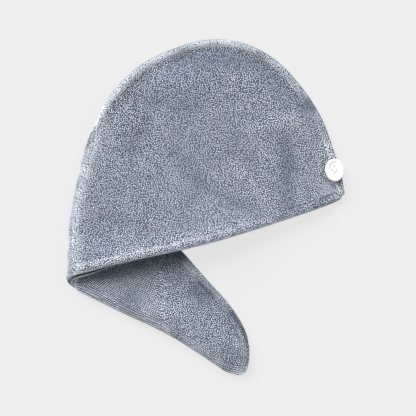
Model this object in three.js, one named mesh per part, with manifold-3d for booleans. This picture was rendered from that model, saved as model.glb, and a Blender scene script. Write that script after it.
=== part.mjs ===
// Hair turban towel lying flat: two mirror-image terry panels sewn along one curved seam,
// open along a hem, with the long tail folded under the hood and a button at the front.
// Millimetres, +Z up. +X runs along the hem towards the front, +Y towards the crown.

import * as THREE from "three";
import { mergeVertices } from "three/addons/utils/BufferGeometryUtils.js";
import Module from "manifold-3d";

// Driving dimensions
const hoodLength = 326.5;     // hem of the opening, from the fold to the front corner
const crownHeight = 228;      // hem line to the top of the crown
const tailLength = 228;       // fold corner to the tip of the tail
const clothThickness = 2.6;   // one ply of terry
const hemWidth = 10;          // turned-up band along the opening
const seamAllowance = 7;      // turned-in band along the seam
const seamBulk = 4.55;        // cloth on each side of the seam, panel and allowance pressed together
const rimRound = 4.5;         // width of the rounded edge along the seam
const hemRound = 2.2;         // width of the rounded edge of the hem
const panelClearance = 0.3;   // gap between the two panels where they are sewn together
const mouthGap = 6.4;         // height of the opening between the two hems
const crownGap = 9;           // height of the hollow between the panels under the crown
const tailGap = 0.8;          // space left between the panels in the tail
const hemEase = 24;           // width over which the hem thins into the panel
const ridgeEase = 3.5;        // width over which the seam ridge thins into the panel
const crownEase = 34;         // width over which the panels part from the seam
const foldInside = 3.2;       // free radius inside the fold of the tail
const foldInsideSeam = 0.6;   // the same at the seam, where the fold is pressed flat
const foldBow = 9.3;          // how far the fold bows outwards
const hemPeek = 5;            // how far the back panel's hem shows below the front's at the fold
const liftMargin = 14;        // distance past the tail's edge before the hood starts to come down
const crownFall = 46;         // distance over which the hood comes down to the floor at the crown
const hemFall = 104;          // the same along the hem
const buttonDiameter = 27;
const buttonThickness = 3.6;
const buttonRimHeight = 0.7;  // raised rim above the dished middle
const buttonRimWidth = 3.2;
const buttonHoleDiameter = 2.2;
const buttonHoleCircle = 6.8; // circle through the centres of the four holes
const holeSides = 12;
const buttonTilt = 36;        // degrees, front edge down over the seam
const buttonTurn = 11;        // degrees, turn of the tilt axis away from the seam
const buttonClearance = 0.3;
const buttonInset = 6.2;      // button centre to the seam edge
const buttonRow = 1.75;       // place of the button among the rows of the hood
const buttonSides = 36;
const threadDiameter = 1.4;
const strandSides = 10;
const shankDiameter = 3.4;
const shankSides = 12;
const shankReach = 7;         // how far behind the button the shank would reach into the cloth

// The hood, from the front corner to the fold. hemX, hemY and seamX are shares of hoodLength,
// seamY of crownHeight; mouth, hollow, bow and peek are shares of the two gaps, foldBow and hemPeek.
// facets is the number of facets up to the next row.
const hoodRows = [
  { hemX: 0.984, hemY: -0.003, seamX: 1.010, seamY: 0.022, mouth: 0.00, hollow: 0.00, bow: 0.0, peek: 0.0, facets: 1 },
  { hemX: 0.960, hemY: -0.008, seamX: 1.016, seamY: 0.092, mouth: 0.10, hollow: 0.10, bow: 0.0, peek: 0.0, facets: 1 },
  { hemX: 0.918, hemY: -0.011, seamX: 1.017, seamY: 0.174, mouth: 0.35, hollow: 0.35, bow: 0.0, peek: 0.0, facets: 1 },
  { hemX: 0.852, hemY: -0.015, seamX: 1.015, seamY: 0.257, mouth: 0.70, hollow: 0.75, bow: 0.0, peek: 0.0, facets: 2 },
  { hemX: 0.775, hemY: -0.018, seamX: 1.006, seamY: 0.425, mouth: 0.95, hollow: 1.00, bow: 0.0, peek: 0.0, facets: 2 },
  { hemX: 0.686, hemY: -0.021, seamX: 0.970, seamY: 0.604, mouth: 1.00, hollow: 1.00, bow: 0.0, peek: 0.0, facets: 2 },
  { hemX: 0.594, hemY: -0.023, seamX: 0.901, seamY: 0.796, mouth: 1.00, hollow: 1.00, bow: 0.0, peek: 0.0, facets: 2 },
  { hemX: 0.505, hemY: -0.023, seamX: 0.795, seamY: 0.933, mouth: 0.95, hollow: 1.00, bow: 0.0, peek: 0.0, facets: 2 },
  { hemX: 0.410, hemY: -0.020, seamX: 0.674, seamY: 0.996, mouth: 0.88, hollow: 0.95, bow: 0.0, peek: 0.0, facets: 2 },
  { hemX: 0.316, hemY: -0.015, seamX: 0.547, seamY: 0.996, mouth: 0.78, hollow: 0.80, bow: 0.0, peek: 0.0, facets: 2 },
  { hemX: 0.223, hemY: -0.009, seamX: 0.426, seamY: 0.964, mouth: 0.72, hollow: 0.55, bow: 0.1, peek: 0.1, facets: 2 },
  { hemX: 0.128, hemY: -0.005, seamX: 0.309, seamY: 0.875, mouth: 0.45, hollow: 0.28, bow: 0.4, peek: 0.4, facets: 1 },
  { hemX: 0.052, hemY: -0.003, seamX: 0.248, seamY: 0.801, mouth: 0.12, hollow: 0.08, bow: 0.8, peek: 0.8, facets: 1 },
  { hemX: 0.000, hemY: 0.000, seamX: 0.213, seamY: 0.739, mouth: 0.00, hollow: 0.00, bow: 1.0, peek: 1.0, facets: 1 },
];

// The tail under the hood, from the fold to the tip. hemX and hemY are shares of tailLength;
// spanAlong and spanAway, from the hem to the seam, are shares of the fold's length,
// along the fold and away from it.
const tailRows = [
  { hemX: 0.056, hemY: -0.168, spanAlong: 0.711, spanAway: 0.086, bow: 0.6, facets: 2 },
  { hemX: 0.164, hemY: -0.266, spanAlong: 0.598, spanAway: 0.131, bow: 0.2, facets: 2 },
  { hemX: 0.275, hemY: -0.361, spanAlong: 0.515, spanAway: 0.140, bow: 0.0, facets: 2 },
  { hemX: 0.382, hemY: -0.463, spanAlong: 0.412, spanAway: 0.157, bow: 0.0, facets: 2 },
  { hemX: 0.477, hemY: -0.569, spanAlong: 0.338, spanAway: 0.167, bow: 0.0, facets: 2 },
  { hemX: 0.543, hemY: -0.647, spanAlong: 0.250, spanAway: 0.170, bow: 0.0, facets: 1 },
  { hemX: 0.592, hemY: -0.704, spanAlong: 0.164, spanAway: 0.134, bow: 0.0, facets: 1 },
  { hemX: 0.638, hemY: -0.736, spanAlong: 0.074, spanAway: 0.071, bow: 0.0, facets: 1 },
  { hemX: 0.663, hemY: -0.743, spanAlong: 0.022, spanAway: 0.024, bow: 0.0, facets: 1 },
];
const foldFacets = 6;

// How far the edges slide along the fold while the tail turns under, as shares of the fold's length
const foldSlideHem = -0.116;
const foldSlideSeam = -0.254;

// Bow of the fold at even steps from the hem to the seam, as shares of foldBow
const bowRows = [
  { bow: 0.07 },
  { bow: 0.56 },
  { bow: 0.89 },
  { bow: 1.00 },
  { bow: 0.88 },
  { bow: 0.60 },
  { bow: 0.30 },
  { bow: -0.10 },
  { bow: 0.00 },
];

// Lines across a panel: places near the hem and near the seam as shares of the bands' widths
const hemRoundShares = [0, 0.16, 0.5, 1];
const hemBandEdge = 0.6;      // half of the width of the step where the turned-up band ends
const seamRoundShares = [0, 0.06, 0.24, 0.55, 1];
const seamBandEdge = 0.3;
const middleLines = 9;
const bandShare = 0.9;        // most of a short section that the two bands may take
const slantLimit = 1.8;
const cornerShare = 0.5;      // thickness left at the rounded corner and tip

const seatRings = 12;         // rings and rays of the grid that finds the button's seat
const seatRays = 48;

const mergeTolerance = 1e-4;
const frontColour = 0x8d949f;
const backColour = 0x8a919d;
const buttonColour = 0xf6f6f6;
const threadColour = 0xf2f2f0;

const halfClearance = panelClearance / 2;
const foldEnd = new THREE.Vector2(hoodRows.at(-1).seamX * hoodLength, hoodRows.at(-1).seamY * crownHeight);
const foldLength = foldEnd.length();
const alongFold = foldEnd.clone().normalize();
const awayFromFold = new THREE.Vector2(alongFold.y, -alongFold.x);

function smoothStep(value, from, to) {
  const t = THREE.MathUtils.clamp((value - from) / (to - from), 0, 1);
  return t * t * (3 - 2 * t);
}

function mix(a, b, t) {
  return a + (b - a) * t;
}

// Catmull-Rom through one column of a list of rows
function columnAt(rows, column, place) {
  const i = Math.min(Math.floor(place), rows.length - 2);
  const t = place - i;
  const [a, b, c, d] = [i - 1, i, i + 1, i + 2].map(
    (k) => rows[THREE.MathUtils.clamp(k, 0, rows.length - 1)][column]);
  return 0.5 * (2 * b + (c - a) * t + (2 * a - 5 * b + 4 * c - d) * t * t + (3 * b - a - 3 * c + d) * t * t * t);
}

function blendRows(rows, columns) {
  const blended = [];
  rows.forEach((row, i) => {
    for (let k = 0; k < row.facets; k += 1) {
      const place = i + k / row.facets;
      blended.push(Object.fromEntries(columns.map((name) => [name, columnAt(rows, name, place)])));
    }
  });
  return blended;
}

function bowAt(share) {
  return foldBow * columnAt(bowRows, "bow", THREE.MathUtils.clamp(share, 0, 1) * (bowRows.length - 1));
}

// Distance of the outer face from the middle surface, before the edges are rounded
function outerFace(section, fromHem, fromSeam) {
  const atHem = mix(halfClearance, mouthGap / 2, section.mouth) + 2 * clothThickness;
  const inBody = mix(tailGap, crownGap, section.hollow) / 2 + clothThickness;
  const nearSeam = tailGap / 2 + clothThickness;
  const inside = mix(atHem, inBody, smoothStep(fromHem, hemWidth, hemWidth + hemEase));
  const ridge = (halfClearance + seamBulk - nearSeam)
    * (1 - smoothStep(fromSeam, rimRound, seamAllowance + ridgeEase));
  return mix(nearSeam, inside, smoothStep(fromSeam, seamAllowance, seamAllowance + crownEase)) + ridge;
}

function innerFace(outer, fromHem, fromSeam) {
  if (fromSeam < seamAllowance) {
    return halfClearance;
  }
  const plies = fromHem < hemWidth ? 2 : 1;
  return Math.max(halfClearance, outer - plies * clothThickness);
}

function roundedEdge(distance, width) {
  return Math.sqrt(Math.max(0, 1 - (1 - Math.min(1, distance / width)) ** 2));
}

// Radius of the middle surface around the fold, wider where the hem and the seam are thicker
function foldRadius(v) {
  const t = THREE.MathUtils.clamp(v, 0, 1);
  const atHem = halfClearance + 2 * clothThickness;
  const inBody = tailGap / 2 + clothThickness;
  const atSeam = halfClearance + seamBulk;
  return mix(foldInside, foldInsideSeam, t ** 3) + inBody
    + (atHem - inBody) * (1 - t) ** 3 + (atSeam - inBody) * t ** 3;
}

// Sections of the hood, of the fold and of the tail, each with its two ends in plan
function hoodSections() {
  const columns = ["hemX", "hemY", "seamX", "seamY", "mouth", "hollow", "bow", "peek"];
  return blendRows(hoodRows, columns).map((row) => ({
    part: "hood",
    hem: new THREE.Vector2(row.hemX * hoodLength, row.hemY * hoodLength),
    seam: new THREE.Vector2(row.seamX * hoodLength, row.seamY * crownHeight),
    mouth: THREE.MathUtils.clamp(row.mouth, 0, 1),
    hollow: THREE.MathUtils.clamp(row.hollow, 0, 1),
    bow: row.bow,
    peek: Math.max(0, row.peek),
  }));
}

function foldSections() {
  const sections = [];
  for (let k = 1; k < foldFacets; k += 1) {
    const turn = k / foldFacets;
    sections.push({
      part: "fold",
      angle: turn * Math.PI,
      hem: alongFold.clone().multiplyScalar(foldLength * foldSlideHem * turn),
      seam: alongFold.clone().multiplyScalar(foldLength * (1 + foldSlideSeam * turn)),
      mouth: 0,
      hollow: 0,
      bow: 1,
      peek: (1 - turn) ** 2,
    });
  }
  return sections;
}

// A place reached from another one by going along the fold and then away from it
function fromFold(start, along, away) {
  return start.clone().addScaledVector(alongFold, along).addScaledVector(awayFromFold, away);
}

function tailSections() {
  const start = {
    hemX: alongFold.x * foldLength * foldSlideHem,
    hemY: alongFold.y * foldLength * foldSlideHem,
    spanAlong: foldLength * (1 + foldSlideSeam - foldSlideHem),
    spanAway: 0,
    bow: 1,
    facets: 2,
  };
  const rest = tailRows.map((row) => ({
    ...row,
    hemX: row.hemX * tailLength,
    hemY: row.hemY * tailLength,
    spanAlong: row.spanAlong * foldLength,
    spanAway: row.spanAway * foldLength,
  }));
  const columns = ["hemX", "hemY", "spanAlong", "spanAway", "bow"];
  return blendRows([start, ...rest], columns).map((row) => {
    const hem = new THREE.Vector2(row.hemX, row.hemY);
    const seam = fromFold(hem, row.spanAlong, row.spanAway);
    return { part: "tail", hem, seam, mouth: 0, hollow: 0, bow: row.bow, peek: 0 };
  });
}

const sections = [...hoodSections(), ...foldSections(), ...tailSections()];
sections.forEach((section, i) => {
  section.thickness = i === 0 || i === sections.length - 1 ? cornerShare : 1;
});

// The line under the hood where the tail ends: a parabola x(y) from the fold's end
// through the sewn edge at two rows of the tail
const [tailNear, , tailFar] = tailRows.map((row) => {
  const hem = new THREE.Vector2(row.hemX * tailLength, row.hemY * tailLength);
  return fromFold(hem, row.spanAlong * foldLength, row.spanAway * foldLength);
});
const tailEdge = [foldEnd, tailNear, tailFar];

function tailEdgeX(y) {
  return tailEdge.reduce((sum, point, i) => {
    const others = tailEdge.filter((_, k) => k !== i);
    const weight = others.reduce((product, other) => product * (y - other.y) / (point.y - other.y), 1);
    return sum + weight * point.x;
  }, 0);
}

// 1 where the hood lies over the tail, easing to 0 where it lies on the floor
function liftAt(plan) {
  const edgeSlope = (tailEdgeX(plan.y + 1) - tailEdgeX(plan.y - 1)) / 2;
  const past = (plan.x - tailEdgeX(plan.y)) / Math.hypot(1, edgeSlope);
  const fall = mix(hemFall, crownFall, smoothStep(plan.y, 0, crownHeight / 2));
  return 1 - smoothStep(past, liftMargin, liftMargin + fall);
}

// Point of the middle surface and the direction from the back panel to the front panel
function middleSurface(section, v, thickness) {
  const plan = section.hem.clone().lerp(section.seam, v);
  const radius = foldRadius(v);
  const share = plan.dot(alongFold) / foldLength;
  plan.addScaledVector(awayFromFold, -section.bow * bowAt(share));
  if (section.part === "hood") {
    return {
      point: new THREE.Vector3(plan.x, plan.y, thickness + 2 * radius * liftAt(plan)),
      normal: new THREE.Vector3(0, 0, 1),
    };
  }
  if (section.part === "tail") {
    return {
      point: new THREE.Vector3(plan.x, plan.y, thickness),
      normal: new THREE.Vector3(0, 0, -1),
    };
  }
  const normal = new THREE.Vector3(
    -awayFromFold.x * Math.sin(section.angle),
    -awayFromFold.y * Math.sin(section.angle),
    Math.cos(section.angle));
  const axis = new THREE.Vector3(plan.x, plan.y, thickness + radius);
  return { point: axis.addScaledVector(normal, radius), normal };
}

// Length of a section and how slantwise it meets the hem and the seam
function measureSections() {
  const ends = sections.map((section) => [0, 1].map((v) => middleSurface(section, v, 0).point));
  sections.forEach((section, i) => {
    const before = ends[Math.max(i - 1, 0)];
    const after = ends[Math.min(i + 1, ends.length - 1)];
    const across = ends[i][1].clone().sub(ends[i][0]);
    section.length = across.length();
    section.slant = [0, 1].map((side) => {
      const edge = after[side].clone().sub(before[side]).normalize();
      return Math.min(slantLimit, 1 / across.clone().normalize().cross(edge).length());
    });
  });
}

measureSections();

// Places of the lines across one section, each with its distance from the hem and from the seam
function linesAcross(section, peek) {
  const hemLines = [
    ...hemRoundShares.map((share) => share * hemRound),
    hemWidth / 2,
    hemWidth - hemBandEdge,
    hemWidth + hemBandEdge,
  ];
  const seamLines = [
    seamAllowance + ridgeEase,
    seamAllowance + seamBandEdge,
    seamAllowance - seamBandEdge,
    ...seamRoundShares.map((share) => share * rimRound).reverse(),
  ];
  const length = section.length + peek;
  const bands = hemLines.at(-1) * section.slant[0] + seamLines[0] * section.slant[1];
  const squeeze = Math.min(1, bandShare * length / bands);
  const hemScale = section.slant[0] * squeeze;
  const seamScale = section.slant[1] * squeeze;
  const places = hemLines.map((distance) => distance * hemScale);
  const first = places.at(-1);
  const last = length - seamLines[0] * seamScale;
  for (let k = 1; k <= middleLines; k += 1) {
    places.push(mix(first, last, k / (middleLines + 1)));
  }
  places.push(...seamLines.map((distance) => length - distance * seamScale));
  return places.map((place) => ({
    v: (place - peek) / section.length,
    fromHem: place / hemScale,
    fromSeam: (length - place) / seamScale,
  }));
}

// Closed ring of points around one panel's thickness at a section; side is 1 for the front panel
function panelRing(section, side) {
  const peek = side < 0 ? section.peek * hemPeek : 0;
  const lines = linesAcross(section, peek);
  const outerPoints = [];
  const innerPoints = [];
  lines.forEach(({ v, fromHem, fromSeam }, i) => {
    const outer = outerFace(section, fromHem, fromSeam);
    const inner = innerFace(outer, fromHem, fromSeam);
    const { point, normal } = middleSurface(section, v, outer);
    const rim = mix(inner, outer, roundedEdge(fromSeam, rimRound));
    const centre = (inner + rim) / 2;
    const half = (rim - inner) / 2 * roundedEdge(fromHem, hemRound) * section.thickness;
    outerPoints.push(point.clone().addScaledVector(normal, side * (centre + half)));
    if (i > 0 && i < lines.length - 1) {
      innerPoints.push(point.clone().addScaledVector(normal, side * (centre - half)));
    }
  });
  return [...outerPoints, ...innerPoints.reverse()];
}

function panelGeometry(side) {
  const rings = sections.map((section) => panelRing(section, side));
  const count = rings[0].length;
  const positions = rings.flat().flatMap((point) => point.toArray());
  const triangles = [];
  const face = (a, b, c) => triangles.push(...(side > 0 ? [a, c, b] : [a, b, c]));
  for (let i = 0; i < rings.length - 1; i += 1) {
    for (let k = 0; k < count; k += 1) {
      const next = (k + 1) % count;
      const a = i * count + k;
      const b = i * count + next;
      if (k < count / 2) {
        face(a, a + count, b);
        face(b, a + count, b + count);
      } else {
        face(a, a + count, b + count);
        face(a, b + count, b);
      }
    }
  }
  for (const [base, turned] of [[0, false], [(rings.length - 1) * count, true]]) {
    for (let k = 0; k < count / 2; k += 1) {
      const quad = [k, k + 1, count - k - 1, (count - k) % count].map((index) => base + index);
      const [a, b, c, d] = turned ? quad.reverse() : quad;
      if (b !== c) {
        face(a, b, c);
      }
      if (a !== d) {
        face(a, c, d);
      }
    }
  }
  const geometry = new THREE.BufferGeometry();
  geometry.setAttribute("position", new THREE.Float32BufferAttribute(positions, 3));
  geometry.setIndex(triangles);
  return geometry;
}

const wasm = await Module();
wasm.setup();

function toSolid(geometry) {
  const bare = geometry.clone();
  bare.deleteAttribute("normal");
  bare.deleteAttribute("uv");
  const merged = mergeVertices(bare, mergeTolerance);
  return new wasm.Manifold(new wasm.Mesh({
    numProp: 3,
    vertProperties: new Float32Array(merged.attributes.position.array),
    triVerts: new Uint32Array(merged.index.array),
  }));
}

function toGeometry(solid) {
  const mesh = solid.getMesh();
  const geometry = new THREE.BufferGeometry();
  geometry.setAttribute("position", new THREE.BufferAttribute(new Float32Array(mesh.vertProperties), 3));
  geometry.setIndex(new THREE.BufferAttribute(new Uint32Array(mesh.triVerts), 1));
  return geometry;
}

// A cylinder along Z between two heights, in the button's own frame
function pin(radius, bottom, top, x, y, sides) {
  const geometry = new THREE.CylinderGeometry(radius, radius, top - bottom, sides);
  geometry.rotateX(Math.PI / 2);
  geometry.translate(x, y, (bottom + top) / 2);
  return geometry;
}

const holePlaces = [0, 1, 2, 3].map((k) => {
  const angle = k * Math.PI / 2;
  return [buttonHoleCircle / 2 * Math.cos(angle), buttonHoleCircle / 2 * Math.sin(angle)];
});

// Round button with a raised rim, a dished middle and four holes; its back lies at z = 0
function buttonSolid() {
  const radius = buttonDiameter / 2;
  const edge = buttonThickness / 3;
  const dish = buttonThickness - buttonRimHeight;
  const profile = [
    [0, 0],
    [radius - edge, 0],
    [radius, edge],
    [radius, buttonThickness - edge],
    [radius - edge / 2, buttonThickness - edge / 3],
    [radius - edge, buttonThickness],
    [radius - buttonRimWidth + edge / 2, buttonThickness],
    [radius - buttonRimWidth, dish],
    [0, dish],
  ].map(([r, z]) => new THREE.Vector2(r, z));
  const body = new THREE.LatheGeometry(profile, buttonSides);
  body.rotateX(Math.PI / 2);
  let solid = toSolid(body);
  for (const [x, y] of holePlaces) {
    const hole = pin(buttonHoleDiameter / 2, -edge, buttonThickness + edge, x, y, holeSides);
    solid = solid.subtract(toSolid(hole));
  }
  return solid;
}

// Thread: four strands through the holes, crossed over the face and gathered behind into a shank
function threadSolid() {
  const face = buttonThickness - buttonRimHeight;
  const radius = threadDiameter / 2;
  const over = face + buttonClearance;
  const under = -buttonClearance;
  const knotBottom = under - 2 * threadDiameter;
  const shank = pin(shankDiameter / 2, -shankReach, under - threadDiameter, 0, 0, shankSides);
  const knot = pin(buttonHoleCircle / 2, knotBottom, under - radius, 0, 0, shankSides);
  let solid = toSolid(shank).add(toSolid(knot));
  for (const [x, y] of holePlaces) {
    const strand = pin(radius, under - threadDiameter, over + radius, x, y, strandSides);
    solid = solid.add(toSolid(strand));
  }
  for (const turn of [0, Math.PI / 2]) {
    const span = buttonHoleCircle + threadDiameter;
    for (const height of [over + radius, under - radius]) {
      const bar = new THREE.BoxGeometry(span, threadDiameter, threadDiameter);
      bar.rotateZ(turn);
      bar.translate(0, 0, height);
      solid = solid.add(toSolid(bar));
    }
  }
  return solid;
}

// Highest point of a mesh under a place in plan, or nothing past its edge
const plumb = new THREE.Raycaster();
const downwards = new THREE.Vector3(0, 0, -1);

function heightUnder(mesh, place) {
  plumb.set(new THREE.Vector3(place.x, place.y, hoodLength), downwards);
  const hits = plumb.intersectObject(mesh);
  return hits.length > 0 ? hits[0].point.z : -Infinity;
}

// Frame of the button: its back touches the rounded seam edge, tilted over it
function buttonFrame(clothMesh) {
  const seamX = columnAt(hoodRows, "seamX", buttonRow) * hoodLength;
  const seamY = columnAt(hoodRows, "seamY", buttonRow) * crownHeight;
  const tilt = THREE.MathUtils.degToRad(buttonTilt);
  const frame = new THREE.Matrix4()
    .makeTranslation(seamX - buttonInset - Math.sin(tilt) * buttonThickness, seamY, 0)
    .multiply(new THREE.Matrix4().makeRotationZ(-THREE.MathUtils.degToRad(buttonTurn)))
    .multiply(new THREE.Matrix4().makeRotationY(tilt));
  let drop = Infinity;
  for (let ring = 0; ring <= seatRings; ring += 1) {
    for (let k = 0; k < seatRays; k += 1) {
      const angle = k / seatRays * 2 * Math.PI;
      const radius = ring / seatRings * buttonDiameter / 2;
      const back = new THREE.Vector3(radius * Math.cos(angle), radius * Math.sin(angle), 0).applyMatrix4(frame);
      drop = Math.min(drop, back.z - heightUnder(clothMesh, back));
    }
  }
  const raise = buttonClearance / Math.cos(tilt) - drop;
  return new THREE.Matrix4().makeTranslation(0, 0, raise).multiply(frame);
}

function fromMatrix(solid, matrix) {
  const geometry = toGeometry(solid);
  geometry.applyMatrix4(matrix);
  return geometry;
}

function terry(colour) {
  return new THREE.MeshStandardMaterial({ color: colour, roughness: 0.95, metalness: 0 });
}

const hairTurban = new THREE.Group();

const frontPanel = new THREE.Mesh(panelGeometry(1), terry(frontColour));
frontPanel.name = "front_panel";
hairTurban.add(frontPanel);

const backPanel = new THREE.Mesh(panelGeometry(-1), terry(backColour));
backPanel.name = "back_panel";
hairTurban.add(backPanel);

const buttonSeat = buttonFrame(frontPanel);
const button = new THREE.Mesh(
  fromMatrix(buttonSolid(), buttonSeat),
  new THREE.MeshStandardMaterial({ color: buttonColour, roughness: 0.35, metalness: 0 }));
button.name = "button";
hairTurban.add(button);

// The shank ends just above the cloth that it is sewn to
const clothBelow = toSolid(frontPanel.geometry.clone().translate(0, 0, buttonClearance));
const buttonThread = new THREE.Mesh(
  toGeometry(toSolid(fromMatrix(threadSolid(), buttonSeat)).subtract(clothBelow)),
  new THREE.MeshStandardMaterial({ color: threadColour, roughness: 0.8, metalness: 0 }));
buttonThread.name = "button_thread";
hairTurban.add(buttonThread);

// The origin lies on the floor, under the middle of the whole
const box = new THREE.Box3().setFromObject(hairTurban);
const middle = box.getCenter(new THREE.Vector3());
hairTurban.position.set(-middle.x, -middle.y, -box.min.z);

export default hairTurban;
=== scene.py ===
# Hair turban towel lying flat, dressed over the part's solids. The two terry panels are rebuilt as dense
# cloth on the same sections as the solids, and get loops, hem stitches and creases; the button gets its
# moulded face and thread. Sizes are in millimetres in the hem's frame, as in the part's source, and turn
# into metres in the part's frame where a mesh is made.

import math

import bpy
import numpy as np
from mathutils import Matrix, Vector
from mathutils.kdtree import KDTree
from numpy.linalg import norm


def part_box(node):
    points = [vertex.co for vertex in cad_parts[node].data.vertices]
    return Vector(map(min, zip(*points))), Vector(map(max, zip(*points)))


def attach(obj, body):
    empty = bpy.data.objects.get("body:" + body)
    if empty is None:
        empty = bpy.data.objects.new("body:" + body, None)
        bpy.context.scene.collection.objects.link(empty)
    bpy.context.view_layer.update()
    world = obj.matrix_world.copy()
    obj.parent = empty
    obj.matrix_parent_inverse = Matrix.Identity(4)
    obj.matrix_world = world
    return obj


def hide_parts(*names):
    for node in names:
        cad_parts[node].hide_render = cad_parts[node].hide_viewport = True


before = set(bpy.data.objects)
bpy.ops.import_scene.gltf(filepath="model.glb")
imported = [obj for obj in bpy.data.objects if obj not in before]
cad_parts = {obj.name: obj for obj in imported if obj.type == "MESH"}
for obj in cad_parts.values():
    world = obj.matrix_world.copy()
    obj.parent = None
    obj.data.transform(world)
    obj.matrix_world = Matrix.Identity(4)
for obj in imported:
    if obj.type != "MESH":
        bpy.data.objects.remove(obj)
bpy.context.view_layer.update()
scene = bpy.context.scene

MM = 0.001
rng = np.random.default_rng(20)

# Sizes that the part's source drives the solids with
hood_length = 326.5
crown_height = 228
tail_length = 228
cloth_thickness = 2.6
hem_width = 10
seam_allowance = 7
seam_bulk = 4.55
rim_round = 4.5
hem_round = 2.2
panel_clearance = 0.3
mouth_gap = 6.4
crown_gap = 9
tail_gap = 0.8
hem_ease = 24
ridge_ease = 3.5
crown_ease = 34
fold_inside = 3.2
fold_inside_seam = 0.6
fold_bow = 9.3
hem_peek = 5
lift_margin = 14
crown_fall = 46
hem_fall = 104
fold_slide_hem = -0.116
fold_slide_seam = -0.254
button_diameter = 27
button_thickness = 3.6
button_tilt = 36
button_turn = 11
button_hole_circle = 6.8

# Where the fold's corner of the hem lies in the part's frame
hem_corner = np.array([-159.788, -29.519, 0.0])


def table(columns, rows):
    return dict(zip(columns, np.array(rows, float).T))


# The hood, from the front corner to the fold. hem_x, hem_y and seam_x are shares of hood_length, seam_y of
# crown_height; mouth and hollow are shares of the two gaps, and bow of fold_bow and of hem_peek.
hood = table(
    ("hem_x", "hem_y", "seam_x", "seam_y", "mouth", "hollow", "bow"),
    [
        (0.984, -0.003, 1.010, 0.022, 0.00, 0.00, 0.0),
        (0.960, -0.008, 1.016, 0.092, 0.10, 0.10, 0.0),
        (0.918, -0.011, 1.017, 0.174, 0.35, 0.35, 0.0),
        (0.852, -0.015, 1.015, 0.257, 0.70, 0.75, 0.0),
        (0.775, -0.018, 1.006, 0.425, 0.95, 1.00, 0.0),
        (0.686, -0.021, 0.970, 0.604, 1.00, 1.00, 0.0),
        (0.594, -0.023, 0.901, 0.796, 1.00, 1.00, 0.0),
        (0.505, -0.023, 0.795, 0.933, 0.95, 1.00, 0.0),
        (0.410, -0.020, 0.674, 0.996, 0.88, 0.95, 0.0),
        (0.316, -0.015, 0.547, 0.996, 0.78, 0.80, 0.0),
        (0.223, -0.009, 0.426, 0.964, 0.72, 0.55, 0.1),
        (0.128, -0.005, 0.309, 0.875, 0.45, 0.28, 0.4),
        (0.052, -0.003, 0.248, 0.801, 0.12, 0.08, 0.8),
        (0.000, 0.000, 0.213, 0.739, 0.00, 0.00, 1.0),
    ],
)

fold_end = np.array([hood["seam_x"][-1] * hood_length, hood["seam_y"][-1] * crown_height])
fold_length = norm(fold_end)
along_fold = fold_end / fold_length
away_from_fold = np.array([along_fold[1], -along_fold[0]])

# The tail under the hood, from the fold to the tip. hem_x and hem_y are shares of tail_length; along and
# away, from the hem to the seam, are shares of the fold's length.
tail = table(
    ("hem_x", "hem_y", "along", "away", "bow"),
    [
        (
            along_fold[0] * fold_length * fold_slide_hem / tail_length,
            along_fold[1] * fold_length * fold_slide_hem / tail_length,
            1 + fold_slide_seam - fold_slide_hem,
            0,
            1,
        ),
        (0.056, -0.168, 0.711, 0.086, 0.6),
        (0.164, -0.266, 0.598, 0.131, 0.2),
        (0.275, -0.361, 0.515, 0.140, 0),
        (0.382, -0.463, 0.412, 0.157, 0),
        (0.477, -0.569, 0.338, 0.167, 0),
        (0.543, -0.647, 0.250, 0.170, 0),
        (0.592, -0.704, 0.164, 0.134, 0),
        (0.638, -0.736, 0.074, 0.071, 0),
        (0.663, -0.743, 0.022, 0.024, 0),
    ],
)

# Bow of the fold at even steps from the hem to the seam, as shares of fold_bow
bow_steps = table(("bow",), [(0.07,), (0.56,), (0.89,), (1.0,), (0.88,), (0.6,), (0.3,), (-0.1,), (0.0,)])

half_clearance = panel_clearance / 2


def smooth_step(value, low, high):
    t = np.clip((value - low) / (high - low), 0, 1)
    return t * t * (3 - 2 * t)


def mix(a, b, t):
    return a + (b - a) * t


def unit(vectors):
    return vectors / norm(vectors, axis=-1, keepdims=True)


def run_along(points):
    """Length along a line of points, from its first one."""
    step = norm(np.diff(points, axis=0), axis=1)
    return np.concatenate([[0], np.cumsum(step)])


def on_line(places, run, values):
    """The values of a line's points, worked out at places given as lengths along it."""
    return np.stack([np.interp(places, run, column) for column in values.T], -1)


def column_at(rows, name, place):
    """Catmull-Rom through one column of a table."""
    values = rows[name]
    i = np.clip(np.floor(place).astype(int), 0, len(values) - 2)
    t = place - i
    a, b, c, d = (values[np.clip(i + k, 0, len(values) - 1)] for k in (-1, 0, 1, 2))
    return 0.5 * (2 * b + (c - a) * t + (2 * a - 5 * b + 4 * c - d) * t**2 + (3 * b - a - 3 * c + d) * t**3)


# The same surface as the part's solids


def bow_at(share):
    return fold_bow * column_at(bow_steps, "bow", np.clip(share, 0, 1) * (len(bow_steps["bow"]) - 1))


def fold_radius(v):
    t = np.clip(v, 0, 1)
    at_hem = half_clearance + 2 * cloth_thickness
    in_body = tail_gap / 2 + cloth_thickness
    at_seam = half_clearance + seam_bulk
    inside = mix(fold_inside, fold_inside_seam, t**3)
    return inside + in_body + (at_hem - in_body) * (1 - t) ** 3 + (at_seam - in_body) * t**3


def outer_face(section, from_hem, from_seam):
    """Distance of a panel's outer face from the middle surface, before the edges are rounded."""
    at_hem = mix(half_clearance, mouth_gap / 2, section["mouth"]) + 2 * cloth_thickness
    in_body = mix(tail_gap, crown_gap, section["hollow"]) / 2 + cloth_thickness
    near_seam = tail_gap / 2 + cloth_thickness
    inside = mix(at_hem, in_body, smooth_step(from_hem, hem_width, hem_width + hem_ease))
    ridge = (half_clearance + seam_bulk - near_seam) * (
        1 - smooth_step(from_seam, rim_round, seam_allowance + ridge_ease)
    )
    past_ridge = smooth_step(from_seam, seam_allowance, seam_allowance + crown_ease)
    return mix(near_seam, inside, past_ridge) + ridge


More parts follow.
